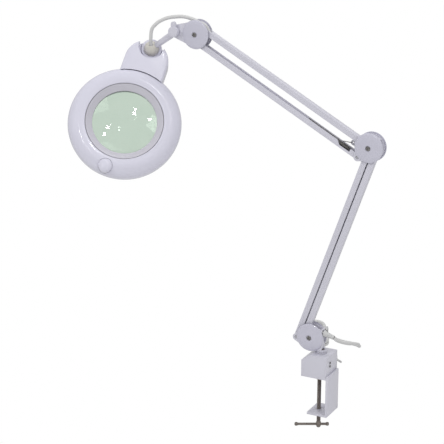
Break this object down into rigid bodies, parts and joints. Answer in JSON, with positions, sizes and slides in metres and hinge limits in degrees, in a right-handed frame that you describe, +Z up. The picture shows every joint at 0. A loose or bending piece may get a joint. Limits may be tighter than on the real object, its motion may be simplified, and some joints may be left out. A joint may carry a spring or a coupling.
{
  "type": "magnifying lamp",
  "caption": "Bench magnifying lamp: round ring-light head with a glass lens on a two-section parallelogram arm, screw clamp and tied mains lead",
  "frame": {"origin": "on the underside of the clamp's fixed jaw, in the middle of its width, where it rests on the bench top", "axes": "+Z up, both arm sections in the plane Y = 0 with the head reaching towards -X, the viewer's side at -Y"},
  "size_m": [0.6042, 0.3935, 0.7982],
  "materials": {
    "white_coated_steel": "satin powder coat",
    "white_plastic": "glossy moulded",
    "dark_steel": "oiled",
    "bright_steel": "plain",
    "cream_plastic": "satin moulded",
    "white_cable": "soft sheath",
    "tie_wire": "matt",
    "lens_glass": "polished",
    "opal_plastic": "opal",
    "tube_glass": "phosphor-coated glass"
  },
  "bodies": {
    "clamp": {"clamp_frame": "white_coated_steel", "clamp_housing": "white_coated_steel", "pan_bush": "bright_steel", "housing_screw_upper": "dark_steel", "housing_screw_lower": "dark_steel", "mains_cord": "white_cable", "mains_hank": "white_cable", "hank_tie": "tie_wire", "mains_tail": "white_cable", "plug": "white_cable"},
    "clamp_pad": {"pressure_pad": "dark_steel"},
    "clamp_spindle": {"clamp_screw": "dark_steel"},
    "clamp_handle": {"tbar": "dark_steel"},
    "base": {"pan_pin": "dark_steel", "base_bracket": "white_coated_steel", "strain_relief": "white_cable", "base_cover_front": "white_plastic", "base_cover_rear": "white_plastic", "base_screw_front": "dark_steel", "base_screw_rear": "dark_steel", "base_pin_left": "bright_steel", "base_pin_right": "bright_steel"},
    "lower_bar_l": {"lower_bar_left": "white_coated_steel"},
    "lower_bar_r": {"lower_bar_right": "white_coated_steel"},
    "elbow": {"elbow_frame": "white_coated_steel", "elbow_cover_front": "white_plastic", "elbow_cover_rear": "white_plastic", "elbow_screw_front": "dark_steel", "elbow_screw_rear": "dark_steel", "elbow_pin_lower_left": "bright_steel", "elbow_pin_lower_right": "bright_steel", "elbow_pin_upper_top": "bright_steel", "elbow_pin_upper_bottom": "bright_steel"},
    "upper_bar_t": {"upper_bar_top": "white_coated_steel", "head_lead_arm": "white_cable"},
    "upper_bar_b": {"upper_bar_bottom": "white_coated_steel", "upper_spring": "dark_steel", "spring_wire": "dark_steel"},
    "head_end": {"head_bracket": "white_coated_steel", "tilt_bolt": "dark_steel", "head_lead_upper": "white_cable", "head_end_cover_front": "white_plastic", "head_end_cover_rear": "white_plastic", "head_end_screw_front": "dark_steel", "head_end_screw_rear": "dark_steel", "head_end_pin_top": "bright_steel", "head_end_pin_bottom": "bright_steel"},
    "lever": {"tilt_lever": "white_coated_steel"},
    "stem": {"tilt_stem": "white_coated_steel", "swivel_ball": "cream_plastic", "head_lead_lower": "white_cable"},
    "seat": {"ball_seat": "white_plastic"},
    "head": {"head_top_shell": "white_plastic", "head_bottom_shell": "white_plastic", "lens_bezel": "white_plastic", "lens": "lens_glass", "ring_tube": "tube_glass", "diffuser": "opal_plastic", "ballast": "dark_steel"},
    "switch": {"switch_button": "white_plastic"}
  },
  "joints": [
    {"name": "base_pan", "type": "hinge", "parent": "clamp", "child": "base", "pos_m": [0.023, 0, 0.05], "axis": [0, 0, 1], "range_deg": [-120, 120]},
    {"name": "lower_arm_lift", "type": "hinge", "parent": "base", "child": "lower_bar_l", "pos_m": [-0.02914, 0, 0.0716], "axis": [0, -1, 0], "range_deg": [-4, 90]},
    {"name": "lower_bar_r_follow", "type": "hinge", "parent": "base", "child": "lower_bar_r", "pos_m": [-0.00774, 0, 0.0913], "axis": [0, -1, 0], "range_deg": [-5, 91]},
    {"name": "elbow_level", "type": "hinge", "parent": "lower_bar_l", "child": "elbow", "pos_m": [0.10504, 0, 0.44842], "axis": [0, -1, 0], "range_deg": [-91, 5]},
    {"name": "upper_arm_lift", "type": "hinge", "parent": "elbow", "child": "upper_bar_t", "pos_m": [0.11064, 0, 0.46552], "axis": [0, -1, 0], "range_deg": [-58, 44]},
    {"name": "upper_bar_b_follow", "type": "hinge", "parent": "elbow", "child": "upper_bar_b", "pos_m": [0.08804, 0, 0.44552], "axis": [0, -1, 0], "range_deg": [-59, 45]},
    {"name": "head_end_level", "type": "hinge", "parent": "upper_bar_t", "child": "head_end", "pos_m": [-0.23887, 0, 0.66006], "axis": [0, -1, 0], "range_deg": [-45, 59]},
    {"name": "head_tilt", "type": "hinge", "parent": "head_end", "child": "stem", "pos_m": [-0.29557, 0, 0.65256], "axis": [0, -1, 0], "range_deg": [-30, 50]},
    {"name": "tilt_lever_turn", "type": "hinge", "parent": "head_end", "child": "lever", "pos_m": [-0.29557, 0, 0.65256], "axis": [0, -1, 0], "range_deg": [-45, 80]},
    {"name": "head_roll", "type": "hinge", "parent": "stem", "child": "seat", "pos_m": [-0.35437, 0, 0.61346], "axis": [-0.8327, 0, -0.5537], "range_deg": [-30, 40]},
    {"name": "head_swivel", "type": "hinge", "parent": "seat", "child": "head", "pos_m": [-0.35437, 0, 0.61346], "axis": [0.454, -0.757, 0.4699], "range_deg": [-100, 14]},
    {"name": "switch_press", "type": "slide", "parent": "head", "child": "switch", "axis": [-0.454, 0.757, -0.4699], "range_m": [0, 0.002], "stiffness_N_per_m": 300},
    {"name": "clamp_screw_travel", "type": "slide", "parent": "clamp", "child": "clamp_pad", "axis": [0, 0, 1], "range_m": [-0.06, 0]},
    {"name": "clamp_screw_turn", "type": "hinge", "parent": "clamp_pad", "child": "clamp_spindle", "pos_m": [0.0192, 0, -0.05], "axis": [0, 0, 1], "range_deg": [-180, 180]},
    {"name": "clamp_handle_slide", "type": "slide", "parent": "clamp_spindle", "child": "clamp_handle", "axis": [0.8829, 0.4695, 0], "range_m": [-0.0085, 0.035]}
  ],
  "couplings": [
    {"joint": "lower_bar_r_follow", "follows": "lower_arm_lift", "ratio": 1},
    {"joint": "elbow_level", "follows": "lower_arm_lift", "ratio": -1},
    {"joint": "upper_bar_b_follow", "follows": "upper_arm_lift", "ratio": 1},
    {"joint": "head_end_level", "follows": "upper_arm_lift", "ratio": -1}
  ]
}
